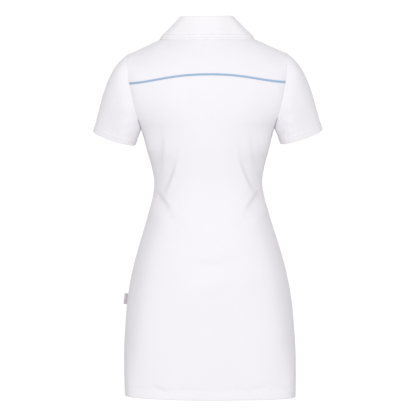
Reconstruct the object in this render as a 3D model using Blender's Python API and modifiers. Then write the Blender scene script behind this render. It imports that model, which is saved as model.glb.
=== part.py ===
"""Women's polo dress in its worn form, hollow and open at neck, cuffs and hem.

The origin is midway between the two high points of the shoulders, where the neck rises. The front faces -Y,
the back faces +Y, and the wearer's left is +X. Each cut piece is a thin wall of its own, a seam's gap from
its neighbours: the outer face is worked out here, and Solidify gives it the cloth's thickness inwards.
"""
import math

import bpy
import numpy as np
from mathutils import Vector

# Cloth and seams
WALL = 0.0015
COLLAR_WALL = 0.0018
STRIP_WALL = 0.0011
SEAM_TRIM = 0.00025
LAY_GAP = 0.0004
EDGE_COLUMN = 0.985

# Lengths that drive the cut
HEM_Z = -0.875
HEM_UNEVEN = 0.0072
YOKE_LIFT = 0.0177
CHEST_LIFT = 0.0040
NECK_SHARE_BACK = 0.40
NECK_SHARE_FRONT = 0.47
CUFF_RADIUS_OUT = 0.0520
CUFF_RADIUS_BACK = 0.0480
CUFF_CENTRE = (0.2252, -0.018, -0.2545)
PLACKET_WIDTH = 0.028
PLACKET_BOTTOM_Z = -0.205
BUTTON_RADIUS = 0.0054
BUTTON_LEVELS = (-0.086, -0.132, -0.178)
PIPING_WIDTH = 0.0046
PIPING_THICK = 0.0016
TAG_LEVEL = -0.642
TAG_HEIGHT = 0.026
TAG_OUT = 0.008
TAG_TILT = 0.2
TAG_THICK = 0.0011

# Shape of the body at each level: it is cut full above the underarm, where the armhole then takes its side
# level z, half width of back and front, centre y of back and front, fullness of back and front
LEVELS = np.array([
    (-0.875, 0.2032, 0.2032, 0.1230, -0.1130, 1.55, 1.38),
    (-0.820, 0.2052, 0.2052, 0.1242, -0.1128, 1.54, 1.37),
    (-0.765, 0.2058, 0.2058, 0.1254, -0.1125, 1.49, 1.34),
    (-0.700, 0.2024, 0.2024, 0.1273, -0.1117, 1.41, 1.29),
    (-0.645, 0.1974, 0.1974, 0.1282, -0.1107, 1.32, 1.23),
    (-0.600, 0.1900, 0.1900, 0.1270, -0.1095, 1.26, 1.19),
    (-0.560, 0.1812, 0.1812, 0.1222, -0.1075, 1.22, 1.16),
    (-0.500, 0.1638, 0.1638, 0.1090, -0.1030, 1.17, 1.13),
    (-0.430, 0.1427, 0.1427, 0.0910, -0.0965, 1.11, 1.10),
    (-0.390, 0.1328, 0.1328, 0.0840, -0.0945, 1.08, 1.09),
    (-0.360, 0.1298, 0.1298, 0.0825, -0.0955, 1.07, 1.08),
    (-0.330, 0.1346, 0.1346, 0.0865, -0.1010, 1.06, 1.08),
    (-0.285, 0.1465, 0.1465, 0.0958, -0.1120, 1.06, 1.08),
    (-0.233, 0.1604, 0.1604, 0.1045, -0.1190, 1.06, 1.10),
    (-0.215, 0.1725, 0.1670, 0.1065, -0.1195, 1.09, 1.10),
    (-0.195, 0.1830, 0.1742, 0.1080, -0.1185, 1.13, 1.09),
    (-0.170, 0.1913, 0.1826, 0.1082, -0.1158, 1.18, 1.07),
    (-0.148, 0.1959, 0.1900, 0.1064, -0.1120, 1.22, 1.05),
    (-0.126, 0.1996, 0.1968, 0.1030, -0.1072, 1.25, 1.03),
    (-0.105, 0.2025, 0.2010, 0.0985, -0.1020, 1.26, 1.00),
])
SIDE_SEAM_Y = -0.002

# Armhole seam of the left side, above the yoke seam and chest: x, y, z from there to the shoulder
SHOULDER_END = np.array((0.1882, 0.0000, -0.0548))
ARMHOLE_BACK_TOP = np.array([
    (0.1887, 0.0160, -0.0577),
    (0.1892, 0.0300, -0.0680),
    (0.1890, 0.0395, -0.0850),
    (0.1880, 0.0448, -0.1050),
])
ARMHOLE_FRONT_TOP = np.array([
    (0.1765, -0.0505, -0.1090),
    (0.1808, -0.0430, -0.0880),
    (0.1848, -0.0315, -0.0695),
    (0.1874, -0.0165, -0.0580),
])
# Armhole seam where it is cut in the body, from the yoke seam under the arm to the chest: y, z
ARMHOLE_LOW = np.array([
    (0.0475, -0.1264),
    (0.0497, -0.1480),
    (0.0485, -0.1710),
    (0.0430, -0.1940),
    (0.0325, -0.2140),
    (0.0170, -0.2280),
    (-0.0020, -0.2330),
    (-0.0200, -0.2285),
    (-0.0345, -0.2165),
    (-0.0455, -0.1995),
    (-0.0525, -0.1780),
    (-0.0550, -0.1550),
    (-0.0540, -0.1310),
])
UNDER_POINT = 6
UNDER_Z = ARMHOLE_LOW[UNDER_POINT, 1]

# Neckline: the high point of the shoulder, and the centre points at back and front
NECK_SIDE = np.array((0.0680, 0.0000, 0.0005))
NECK_BACK = np.array((0.0000, 0.0590, -0.0040))
NECK_FRONT = np.array((0.0000, -0.0840, -0.0660))

# Direction in which the sleeve leaves the armhole seam, by the angle round the arm
# angle, x, y, z, pull
SLEEVE_START = np.array([
    (-40, 0.80, -0.14, -0.58, 0.85),
    (0, 0.81, 0.00, -0.59, 1.06),
    (40, 0.80, 0.10, -0.58, 0.85),
    (80, 0.78, -0.04, -0.62, 0.80),
    (120, 0.62, -0.06, -0.78, 0.80),
    (150, 0.50, -0.10, -0.86, 0.90),
    (180, 0.36, -0.16, -0.92, 1.00),
    (210, 0.46, -0.20, -0.86, 0.90),
    (240, 0.58, -0.22, -0.78, 0.80),
    (280, 0.76, -0.14, -0.63, 0.80),
    (320, 0.80, -0.14, -0.58, 0.85),
    (360, 0.81, 0.00, -0.59, 1.06),
    (400, 0.80, 0.10, -0.58, 0.85),
])
SLEEVE_END_PULL = 0.92
CUFF_OUT = np.array((0.9455, 0.0000, 0.3256))
CUFF_BACK = np.array((0.0551, 0.9856, -0.1600))

# Collar, from the centre front round to the centre back: the fold and the edge of the leaf
# share of the way round, fold x, y, z, edge x, y, z
COLLAR = np.array([
    (0.00, 0.0030, -0.0850, -0.0455, 0.0400, -0.1004, -0.1030),
    (0.15, 0.0230, -0.0770, -0.0325, 0.0590, -0.0910, -0.0860),
    (0.32, 0.0450, -0.0530, -0.0035, 0.0880, -0.0716, -0.0565),
    (0.47, 0.0590, -0.0250, 0.0225, 0.1088, -0.0420, -0.0284),
    (0.60, 0.0632, 0.0050, 0.0322, 0.1150, 0.0020, -0.0178),
    (0.72, 0.0563, 0.0280, 0.0329, 0.0998, 0.0340, -0.0212),
    (0.84, 0.0380, 0.0425, 0.0318, 0.0690, 0.0528, -0.0237),
    (0.93, 0.0178, 0.0490, 0.0309, 0.0335, 0.0689, -0.0247),
    (1.00, 0.0000, 0.0505, 0.0307, 0.0000, 0.0739, -0.0251),
])
FOLD_RADIUS = 0.0028
LEAF_BOW = -0.0006

# Creases that the cut throws at the waist, as lines on the cloth
# face, depth, reach, then x and z of the three points it runs through
CREASES = (
    ("back", 0.0040, 0.0085, (0.083, -0.312), (0.094, -0.347), (0.109, -0.384)),
    ("back", 0.0040, 0.0085, (0.126, -0.389), (0.111, -0.409), (0.092, -0.430)),
    ("back", 0.0038, 0.0085, (-0.081, -0.312), (-0.095, -0.350), (-0.116, -0.389)),
    ("back", 0.0036, 0.0085, (-0.126, -0.389), (-0.112, -0.407), (-0.090, -0.430)),
    ("back", 0.0022, 0.0140, (0.114, -0.254), (0.117, -0.296), (0.123, -0.334)),
    ("back", 0.0016, 0.0120, (0.021, -0.549), (-0.006, -0.566), (-0.033, -0.549)),
    ("front", 0.0036, 0.0095, (0.079, -0.318), (0.093, -0.352), (0.113, -0.381)),
    ("front", 0.0032, 0.0095, (0.124, -0.393), (0.108, -0.412), (0.086, -0.428)),
    ("front", 0.0034, 0.0095, (-0.084, -0.308), (-0.098, -0.345), (-0.114, -0.386)),
    ("front", 0.0030, 0.0095, (-0.125, -0.391), (-0.110, -0.413), (-0.094, -0.434)),
    ("front", 0.0020, 0.0150, (-0.112, -0.262), (-0.117, -0.300), (-0.122, -0.336)),
)


def through(keys, rows, at):
    """The smooth curve through a table's rows, read at one key or at an array of them."""
    at = np.asarray(at, float)
    k = np.clip(np.searchsorted(keys, at) - 1, 0, len(keys) - 2)
    step = np.diff(keys)[:, None]
    rise = np.diff(rows, axis=0) / step
    inner = (rise[:-1] * step[1:] + rise[1:] * step[:-1]) / (step[:-1] + step[1:])
    slope = np.vstack([rise[:1], inner, rise[-1:]])
    u = ((at - keys[k]) / step[k, 0])[..., None]
    return hermite(rows[k], rows[k + 1], step[k] * slope[k], step[k] * slope[k + 1], u)


def hermite(start, end, leave, arrive, v):
    """Point at the share v of a curve from start to end, with the directions it leaves and arrives in."""
    first = (1 + 2 * v) * (1 - v) ** 2 * start + v * (1 - v) ** 2 * leave
    return first + v * v * (3 - 2 * v) * end + v * v * (v - 1) * arrive


def bezier(p0, p1, p2, p3, t):
    """Points of a cubic curve at the share t."""
    s = 1 - t
    return s ** 3 * p0 + 3 * s * s * t * p1 + 3 * s * t * t * p2 + t ** 3 * p3


def unit(v):
    """Vectors at length one."""
    v = np.asarray(v, float)
    return v / np.linalg.norm(v, axis=-1, keepdims=True)


def ease(t):
    """A share that starts and ends slowly."""
    return t * t * (3 - 2 * t)


def body(face, z, t):
    """Points of the body at the levels z, at the shares t of the way from the centre line to the side."""
    half_back, half_front, y_back, y_front, full_back, full_front = through(LEVELS[:, 0], LEVELS[:, 1:], z).T
    half, middle, full = (half_back, y_back, full_back) if face == "back" else (half_front, y_front, full_front)
    hold = 0.5523 * full
    x = bezier(0, hold * half, half, half, t)
    y = bezier(middle, middle, SIDE_SEAM_Y + hold * (middle - SIDE_SEAM_Y), SIDE_SEAM_Y, t)
    return np.stack([x, y, z + 0 * t], axis=-1)


def share_at(face, y, z):
    """How far round from the centre line the body's level z reaches the depth y."""
    shares = np.linspace(0.4, 1, 601)
    depths = np.abs(body(face, np.full(601, z), shares)[:, 1] - SIDE_SEAM_Y)
    return np.interp(-abs(y - SIDE_SEAM_Y), -depths, shares)


def armhole_ring():
    """The closed armhole seam from the shoulder down the back and up the front, and keys along it."""
    low = []
    for number, (y, z) in enumerate(ARMHOLE_LOW):
        face = "back" if number <= UNDER_POINT else "front"
        low.append(body(face, z, share_at(face, y, z)))
    loop = np.vstack([[SHOULDER_END], ARMHOLE_BACK_TOP, low, ARMHOLE_FRONT_TOP])
    ring = np.vstack([loop[-2:], loop, loop[:3]])
    keys = np.concatenate([[0], np.cumsum(np.linalg.norm(np.diff(ring, axis=0), axis=1))])
    return keys - keys[2], ring


ARM_KEYS, ARM_RING = armhole_ring()
YOKE_KEY = ARM_KEYS[2 + 1 + len(ARMHOLE_BACK_TOP)]
UNDER_KEY = ARM_KEYS[2 + 1 + len(ARMHOLE_BACK_TOP) + UNDER_POINT]
CHEST_KEY = ARM_KEYS[2 + len(ARMHOLE_BACK_TOP) + len(ARMHOLE_LOW)]
END_KEY = ARM_KEYS[-3]


def armhole(key):
    """A point of the left armhole seam, by its length from the shoulder."""
    return through(ARM_KEYS, ARM_RING, key)


def armhole_key(face, rise):
    """Where a row that rises past the underarm meets the armhole seam."""
    back = face == "back"
    middle = YOKE_KEY if back else CHEST_KEY
    if rise <= 2:
        return UNDER_KEY + (middle - UNDER_KEY) * (rise - 1)
    return middle + ((0 if back else END_KEY) - middle) * (rise - 2)


def lower_row(face, rise, t):
    """A row of the back or front: rise 0 to 1 from hem to underarm, 1 to 2 from there to yoke or chest."""
    if rise <= 1:
        return body(face, np.full(len(t), HEM_Z + (UNDER_Z - HEM_Z) * rise), t)
    edge = armhole(armhole_key(face, rise))
    lift = (YOKE_LIFT if face == "back" else CHEST_LIFT) * (rise - 1) ** 2
    t = np.append(t, 1.0)
    way = t * share_at(face, edge[1], edge[2])
    across = body(face, np.full(len(t), edge[2]), way)[:, 0]
    row = body(face, edge[2] + lift * (1 - ease((across / across[-1]) ** 1.25)), way)
    row = row + (edge - row[-1]) * t[:, None] ** 4
    return row[:-1]


def top_row(face, t):
    """Neckline, then shoulder seam, of the yoke or the front."""
    back = face == "back"
    share = NECK_SHARE_BACK if back else NECK_SHARE_FRONT
    centre = NECK_BACK if back else NECK_FRONT
    near = centre + np.array((0.036 if back else 0.044, 0, 0))
    far = NECK_SIDE + np.array((0, 0.034, 0) if back else (0, -0.042, -0.012))
    neck = bezier(centre, near, far, NECK_SIDE, np.clip(t / share, 0, 1)[:, None])
    along = np.clip((t - share) / (1 - share), 0, 1)[:, None]
    shoulder = NECK_SIDE + (SHOULDER_END - NECK_SIDE) * along
    return np.where((t <= share)[:, None], neck, shoulder)


def upper_row(face, rise, t):
    """A row from yoke seam or chest, rise 2, to the top, rise 3, where each column bends over the shoulder."""
    back = face == "back"
    v = rise - 2
    t = np.append(t, 1.0)
    foot = lower_row(face, 2, t)
    rising = unit(foot - lower_row(face, 1.97, t))
    top = top_row(face, t)
    pull = np.linalg.norm(top - foot, axis=1)[:, None]
    share = NECK_SHARE_BACK if back else NECK_SHARE_FRONT
    neck = np.clip(t / share, 0, 1)[:, None] ** 2
    out = ease(np.clip((t - share) / 0.3, 0, 1))[:, None]
    at_centre = np.array((0, -0.50, 0.86) if back else (0, 0.38, 0.92))
    at_neck = np.array((-0.50, -0.85, 0.225) if back else (-0.50, 0.85, 0.225))
    over = np.array((0, -1, 0) if back else (0, 1, 0))
    ending = unit(at_centre * (1 - neck) + at_neck * (neck - out) + over * out)
    points = hermite(foot, top, rising * pull, ending * pull, v)
    points = points + (armhole(armhole_key(face, rise)) - points[-1]) * t[:, None] ** 4
    return points[:-1]


def half_row(face, rise, t):
    """A row of one face at any rise from 0, the hem, to 3, the top."""
    return lower_row(face, rise, t) if rise <= 2 else upper_row(face, rise, t)


def normals(grid):
    """Unit normals of a grid of points whose columns and rows wind outwards."""
    return unit(np.cross(np.gradient(grid, axis=1), np.gradient(grid, axis=0)))


def crease_depth(face, points):
    """How far the creases of one face pull each of its points in."""
    depth = np.zeros(points.shape[:-1])
    for crease_face, deep, reach, *line in CREASES:
        if crease_face != face:
            continue
        ends = np.array([(x, 0, z) for x, z in line])
        shares = np.linspace(0, 1, 13)
        near, far = (ends[0] + 2 * ends[1]) / 3, (ends[2] + 2 * ends[1]) / 3
        curve = bezier(ends[0], near, far, ends[2], shares[:, None])
        away = points[..., None, (0, 2)] - curve[:, (0, 2)]
        distance = np.linalg.norm(away, axis=-1)
        nearest = distance.argmin(axis=-1)
        taper = np.sin(np.pi * (0.06 + 0.88 * shares[nearest]))
        depth += deep * taper * np.exp(-(distance.min(axis=-1) / reach) ** 2)
    return depth


def hem_lift(grid):
    """How much higher the skirt hangs towards its left side, near the hem."""
    low = ease(np.clip((-0.70 - grid[..., 2]) / 0.14, 0, 1))
    return HEM_UNEVEN * (np.clip(grid[..., 0], 0, None) / 0.2) ** 1.4 * low


def panel_grid(face, rises, shares):
    """Points of a whole panel, both halves, its rows from bottom to top, wound to face outwards."""
    t = np.asarray(shares)
    half = np.array([half_row(face, rise, t) for rise in rises])
    mirrored = half[:, :0:-1] * (-1, 1, 1)
    grid = np.concatenate([mirrored, half], axis=1)
    grid = grid[:, ::-1] if face == "back" else grid
    grid[..., 2] += hem_lift(grid)
    still = np.concatenate([t[:0:-1], t]) ** 10
    depth = crease_depth(face, grid) * (1 - still)
    return grid - normals(grid) * depth[..., None]


def trim(grid, bottom=False, top=False, sides=False):
    """Draw a panel's sewn edges back from the seam."""
    grid = grid.copy()
    if bottom:
        grid[0] += unit(grid[1] - grid[0]) * SEAM_TRIM
    if top:
        grid[-1] += unit(grid[-2] - grid[-1]) * SEAM_TRIM
    if sides:
        grid[:, 0] += unit(grid[:, 1] - grid[:, 0]) * SEAM_TRIM
        grid[:, -1] += unit(grid[:, -2] - grid[:, -1]) * SEAM_TRIM
    return grid


def material(name, colour, roughness):
    """A plain surface of one colour."""
    made = bpy.data.materials.new(name)
    made.use_nodes = True
    shader = made.node_tree.nodes["Principled BSDF"]
    shader.inputs["Base Color"].default_value = (*colour, 1)
    shader.inputs["Roughness"].default_value = roughness
    shader.inputs["Metallic"].default_value = 0
    return made


def place(name, mesh, finish):
    """Make a mesh one named piece of the dress."""
    mesh.materials.append(finish)
    mesh.shade_smooth()
    piece = bpy.data.objects.new(name, mesh)
    dress.objects.link(piece)
    return piece


def mesh_from_grid(name, grid, round_ring=False, caps=False):
    """A mesh with a face between each four neighbours of a grid of points."""
    rows, columns = grid.shape[:2]
    last = columns if round_ring else columns - 1
    faces = []
    for i in range(rows - 1):
        for j in range(last):
            k = (j + 1) % columns
            faces.append((i * columns + j, i * columns + k, (i + 1) * columns + k, (i + 1) * columns + j))
    if caps:
        faces.append(tuple(reversed(range(columns))))
        faces.append(tuple((rows - 1) * columns + j for j in range(columns)))
    mesh = bpy.data.meshes.new(name)
    mesh.from_pydata(grid.reshape(-1, 3).tolist(), [], faces)
    return mesh


def cloth(name, grid, wall, finish, round_ring=False, centred=False):
    """A wall of cloth: the grid is its outer face, or its middle where it is centred."""
    piece = place(name, mesh_from_grid(name, grid, round_ring), finish)
    solidify = piece.modifiers.new("cloth thickness", "SOLIDIFY")
    solidify.thickness = wall
    solidify.offset = 0 if centred else -1
    solidify.use_even_offset = False
    return piece


def levels(*stretches):
    """Rises through several stretches of (start, end, rows between)."""
    rises = [stretches[0][0]]
    for start, end, count in stretches:
        rises.extend(np.linspace(start, end, count + 1)[1:])
    return rises


def rise_of_level(z):
    """The rise, up to the underarm, of a level z."""
    return (z - HEM_Z) / (UNDER_Z - HEM_Z)


def rise_at(face, z):
    """The rise above the underarm at which the centre line of a face reaches the level z."""
    low, high = 1.0, 3.0
    for _ in range(40):
        middle = (low + high) / 2
        reached = half_row(face, middle, np.array([0.0]))[0, 2]
        low, high = (middle, high) if reached < z else (low, middle)
    return low


SKIRT_ROWS = levels(
    (0, rise_of_level(-0.470), 11),
    (rise_of_level(-0.470), rise_of_level(-0.300), 13),
    (rise_of_level(-0.300), 1, 3),
)
BACK_ROWS = SKIRT_ROWS + levels((1, 2, 8))[1:]
FRONT_ROWS = SKIRT_ROWS + levels((1, 2, 7), (2, 2.97, 5), (2.97, 3, 1))[1:]
YOKE_ROWS = levels((2, 2.97, 5), (2.97, 3, 1))


def across(neck_share, neck_columns, shoulder_columns):
    """Shares of the columns of half a panel, the last one narrow along the seam."""
    neck = np.linspace(0, neck_share, neck_columns + 1)
    shoulder = np.linspace(neck_share, EDGE_COLUMN, shoulder_columns + 1)
    return np.concatenate([neck, shoulder[1:], [1.0]])


BACK_SHARES = across(NECK_SHARE_BACK, 5, 7)
FRONT_SHARES = across(NECK_SHARE_FRONT, 6, 6)


def make_panels():
    """Front, back and yoke."""
    back = trim(panel_grid("back", BACK_ROWS, BACK_SHARES), top=True, sides=True)
    yoke = trim(panel_grid("back", YOKE_ROWS, BACK_SHARES), bottom=True, top=True, sides=True)
    front = trim(panel_grid("front", FRONT_ROWS, FRONT_SHARES), top=True, sides=True)
    cloth("back", back, WALL, white_pique)
    cloth("back_yoke", yoke, WALL, white_pique)
    cloth("front", front, WALL, white_pique)


def cuff_point(angle):
    """A point of the left sleeve's hem, by its angle from the outer side round the back."""
    out = CUFF_OUT * CUFF_RADIUS_OUT * math.cos(angle)
    return np.array(CUFF_CENTRE) + out + unit(CUFF_BACK) * CUFF_RADIUS_BACK * math.sin(angle)


def sleeve_grid(keys, shares):
    """Points of the left sleeve, one ring at the armhole and one at each share of the way to the cuff."""
    down = unit(np.cross(unit(CUFF_BACK), unit(CUFF_OUT)))
    rings = []
    for v in shares:
        ring = []
        for key in keys:
            half_turn = key / UNDER_KEY if key <= UNDER_KEY else 1 + (key - UNDER_KEY) / (END_KEY - UNDER_KEY)
            *leave, pull = through(SLEEVE_START[:, 0], SLEEVE_START[:, 1:], 180 * half_turn)
            start = armhole(key)
            end = cuff_point(math.pi * half_turn)
            chord = np.linalg.norm(end - start)
            ring.append(hermite(start, end, unit(leave) * pull * chord, down * SLEEVE_END_PULL * chord, v))
        rings.append(ring)
    return np.array(rings)


def make_sleeves():
    """Both sleeves, with a column at each row of the panels that they are sewn to."""
    back_keys = [armhole_key("back", rise) for rise in BACK_ROWS + YOKE_ROWS[1:] if rise >= 1]
    front_keys = [armhole_key("front", rise) for rise in FRONT_ROWS if rise > 1]
    keys = back_keys[::-1] + front_keys[:-1]
    grid = sleeve_grid(keys, [0, 0.03, 0.16, 0.32, 0.49, 0.66, 0.83, 1])
    grid[0] += unit(grid[1] - grid[0]) * SEAM_TRIM
    cloth("sleeve_left", grid[:, ::-1], WALL, white_pique, round_ring=True)
    cloth("sleeve_right", grid * (-1, 1, 1), WALL, white_pique, round_ring=True)


def neck_stations():
    """Half the neckline as points from the centre front to the centre back, with their share of the way."""
    front = FRONT_SHARES[FRONT_SHARES <= NECK_SHARE_FRONT + 1e-9]
    back = BACK_SHARES[BACK_SHARES <= NECK_SHARE_BACK + 1e-9]
    front[0] = 0.012
    seam = np.vstack([top_row("front", front), top_row("back", back)[::-1][1:]])
    along = np.concatenate([[0], np.cumsum(np.linalg.norm(np.diff(seam, axis=0), axis=1))])
    return seam, along / along[-1]


def collar_profile(seam, fold, edge):
    """One section of the collar: up the stand from the neck seam, over the fold and down the leaf."""
    out = unit((edge - fold) * (1, 1, 0))
    stand = unit(fold - seam)
    leaf = unit(edge - fold)

    def bend(direction):
        return math.atan2(direction @ out, -direction[2]) % math.tau

    centre = fold - np.array((0, 0, FOLD_RADIUS))
    arc = []
    for angle in np.linspace(bend(stand), bend(leaf), 5):
        arc.append(centre + (out * math.cos(angle) + np.array((0, 0, 1)) * math.sin(angle)) * FOLD_RADIUS)
    foot = seam + stand * (SEAM_TRIM * 2)
    bow = np.cross(unit(np.cross(out, (0, 0, 1))), leaf) * LEAF_BOW
    leaf_points = [arc[-1] + (edge - arc[-1]) * share + bow * math.sin(math.pi * share) for share in (1 / 3, 2 / 3, 1)]
    return [foot, foot + (arc[0] - foot) * 0.5, *arc, *leaf_points]


def make_collar():
    """Collar, stand and leaf in one, from one front end round the neck to the other."""
    seam, along = neck_stations()
    half = []
    for point, share in zip(seam, along):
        row = through(COLLAR[:, 0], COLLAR[:, 1:], share)
        half.append(collar_profile(point, row[:3], row[3:]))
    half = np.array(half)
    grid = np.concatenate([half, half[-2::-1] * (-1, 1, 1)])
    cloth("collar", grid, COLLAR_WALL, white_rib, centred=True)


def strip_grid(lowest, highest, rows, raise_by):
    """Points of a strip down the centre front, moved out from the front's own."""
    dense = np.linspace(0, 0.3, 60)
    places = np.linspace(0, PLACKET_WIDTH / 2, 3)
    grid = []
    for rise in np.linspace(lowest, highest, rows + 1):
        row = half_row("front", rise, dense)
        half = np.array([[np.interp(x, row[:, 0], row[:, axis]) for axis in range(3)] for x in places])
        grid.append(np.concatenate([half[:0:-1] * (-1, 1, 1), half]))
    grid = np.array(grid)
    return grid + normals(grid) * raise_by


def make_placket():
    """The two strips of the placket, closed, and the buttons that fasten it."""
    lowest = rise_at("front", PLACKET_BOTTOM_Z)
    over = strip_grid(lowest, 2.975, 9, LAY_GAP + STRIP_WALL)
    under = strip_grid(lowest, 2.975, 9, -WALL - LAY_GAP)
    cloth("placket_over", over, STRIP_WALL, white_pique)
    cloth("placket_under", under, STRIP_WALL, white_pique)
    for number, level in enumerate(BUTTON_LEVELS, start=1):
        rise = rise_at("front", level)
        near = strip_grid(rise - 0.02, rise + 0.02, 2, 0)
        seat = near[1, 2]
        outward = normals(near)[1, 2]
        make_button(f"button_{number}", seat + outward * (2 * LAY_GAP + STRIP_WALL), outward)


def make_button(name, seat, outward):
    """A dished button turned about the normal of the strip under it."""
    profile = (
        (0, 0.0015), (0.62, 0.0015), (0.74, 0.0021), (0.92, 0.0021), (1, 0.0014), (1, 0.0007), (0.80, 0), (0, 0),
    )
    mesh = bpy.data.meshes.new(name)
    points = [(BUTTON_RADIUS * share, 0, height) for share, height in profile]
    mesh.from_pydata(points, [(k, k + 1) for k in range(len(points) - 1)], [])
    button = place(name, mesh, pearl_plastic)
    screw = button.modifiers.new("turning", "SCREW")
    screw.steps = 20
    screw.render_steps = 20
    screw.use_merge_vertices = True
    screw.merge_threshold = 0.00005
    button.location = seat
    button.rotation_mode = "QUATERNION"
    button.rotation_quaternion = Vector((0, 0, 1)).rotation_difference(Vector(outward))


def make_piping():
    """Piping folded from a bias strip, caught in the yoke seam and lying down over the back."""
    shares = np.concatenate([[0.0], BACK_SHARES[1:-2], [0.965]])
    seam = lower_row("back", 2, shares)
    down = unit(lower_row("back", 1.97, shares) - seam)
    along = unit(np.gradient(seam, axis=0))
    out = unit(np.cross(along, down))
    middle = seam + down * (PIPING_WIDTH * 0.42) + out * (LAY_GAP + PIPING_THICK / 2)
    half = []
    for centre, low, high in zip(middle, down, out):
        ring = []
        for k in range(8):
            angle = math.tau * (k + 0.5) / 8
            ring.append(centre + low * math.cos(angle) * PIPING_WIDTH / 2 + high * math.sin(angle) * PIPING_THICK / 2)
        half.append(ring)
    half = np.array(half)
    grid = np.concatenate([half[:0:-1], half * (-1, 1, 1)])[::-1]
    place("yoke_piping", mesh_from_grid("yoke_piping", grid, round_ring=True, caps=True), blue_cotton)


def make_tag():
    """A small woven tag, folded double, sewn into the left side seam."""
    bpy.ops.mesh.primitive_cube_add(size=1)
    tag = bpy.context.object
    tag.name = "side_tag"
    for collection in list(tag.users_collection):
        collection.objects.unlink(tag)
    dress.objects.link(tag)
    for corner in tag.data.vertices:
        level = TAG_LEVEL + corner.co.z * TAG_HEIGHT
        root = body("back", level, 1.0)[0] + 2 * LAY_GAP
        out = (corner.co.x + 0.5) * TAG_OUT
        corner.co = (root + out, SIDE_SEAM_Y + corner.co.y * TAG_THICK, level + out * TAG_TILT)
    tag.data.materials.append(grey_woven)
    bevel = tag.modifiers.new("soft edges", "BEVEL")
    bevel.width = 0.0004
    bevel.segments = 2


for thing in list(bpy.data.objects):
    bpy.data.objects.remove(thing, do_unlink=True)
dress = bpy.data.collections.new("polo_dress")
bpy.context.scene.collection.children.link(dress)

white_pique = material("white pique", (0.90, 0.90, 0.92), 0.85)
white_rib = material("white flat knit", (0.91, 0.91, 0.93), 0.85)
blue_cotton = material("light blue piping", (0.38, 0.53, 0.69), 0.80)
pearl_plastic = material("white button", (0.90, 0.90, 0.89), 0.30)
grey_woven = material("grey woven tag", (0.55, 0.50, 0.53), 0.70)

make_panels()
make_sleeves()
make_collar()
make_placket()
make_piping()
make_tag()
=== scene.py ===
"""A women's polo dress in its worn form, seen from the back: white pique, flat-knit collar, blue piping.

Metres, +Z up, and millimetres in the tables that are multiplied by MM. The origin is midway between the
high points of the shoulders, the back faces +Y and the wearer's left is +X. The sections follow the order in
which the dress is cut and sewn.
"""
import math

import bpy
import numpy as np
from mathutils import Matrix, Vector


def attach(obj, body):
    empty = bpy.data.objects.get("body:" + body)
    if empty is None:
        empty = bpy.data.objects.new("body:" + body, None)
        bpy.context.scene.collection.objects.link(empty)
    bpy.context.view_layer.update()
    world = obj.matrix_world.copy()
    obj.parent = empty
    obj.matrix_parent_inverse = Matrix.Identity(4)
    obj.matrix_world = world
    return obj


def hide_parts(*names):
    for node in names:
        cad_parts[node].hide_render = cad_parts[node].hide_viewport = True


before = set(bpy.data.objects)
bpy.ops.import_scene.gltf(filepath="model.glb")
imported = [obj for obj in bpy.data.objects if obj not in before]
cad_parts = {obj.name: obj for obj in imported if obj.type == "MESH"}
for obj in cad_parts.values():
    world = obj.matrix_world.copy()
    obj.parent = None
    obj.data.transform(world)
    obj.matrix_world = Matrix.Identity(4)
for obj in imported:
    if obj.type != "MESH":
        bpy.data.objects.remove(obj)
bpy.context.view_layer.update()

# Back: one piece of white cotton pique from the piped seam to the hem, cut in at the waist and flared
# below it. The cloth is knitted in small raised cells, soft and matt. Its hem is turned up and held by two
# rows of stitches, and the cut throws short creases above and below the waist.
MM = 0.001
CLOTH = 0.0011
HEM_Z = -0.875
HEM_UNEVEN = 0.0072
HEM_UNEVEN_BELOW = -0.70
HEM_UNEVEN_OVER = 0.14
HEM_DEPTH = 0.0225
HEM_ROWS = (0.0195, 0.0225)
HEM_RAISE = 0.0005
HEM_STEP = 0.002
HEM_FLARE = 0.0022
STITCH_SINK = 0.0005
STITCH_GROOVE = 0.0009
RIM_ROUND = 0.35
MIRROR = (-1, 1, 1)
PUCKER = 0.0004
PUCKER_REACH = 0.005
PUCKER_WAVES = (0.0019, 0.0081, 0.023)
# how far the middle of the yoke seam, or of the chest, stands above its ends at the armholes
CENTRE_LIFT = {"back": 0.0177, "front": 0.0040}
SIDE_SEAM_Y = -0.002
SEAM_GAP = 0.00003
ROLL_IN = 0.0003
ROLL_REACH = 0.0013
# shares of the way up from the underarm: where a tuck is full, where it has ended, and over what it fades
TUCK_FULL, TUCK_END, TUCK_FADE = 0.05, 0.36, 0.14
TUCK_DEPTH = 0.008
TUCK_REACH = 0.0028
TUCK_TOWARDS = (0.17, -0.15)
# the lip beside a fold: how far off and how wide, in reaches of the fold
LIP_OFF, LIP_REACH = 1.9, 0.8
# powers of the share across: for the lift of a row's middle, for the pull to the armhole seam, and for the
# end of a crease at the side seam
LIFT_POWER = 1.25
ROW_HOLD = 4
CREASE_HOLD = 10

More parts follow.
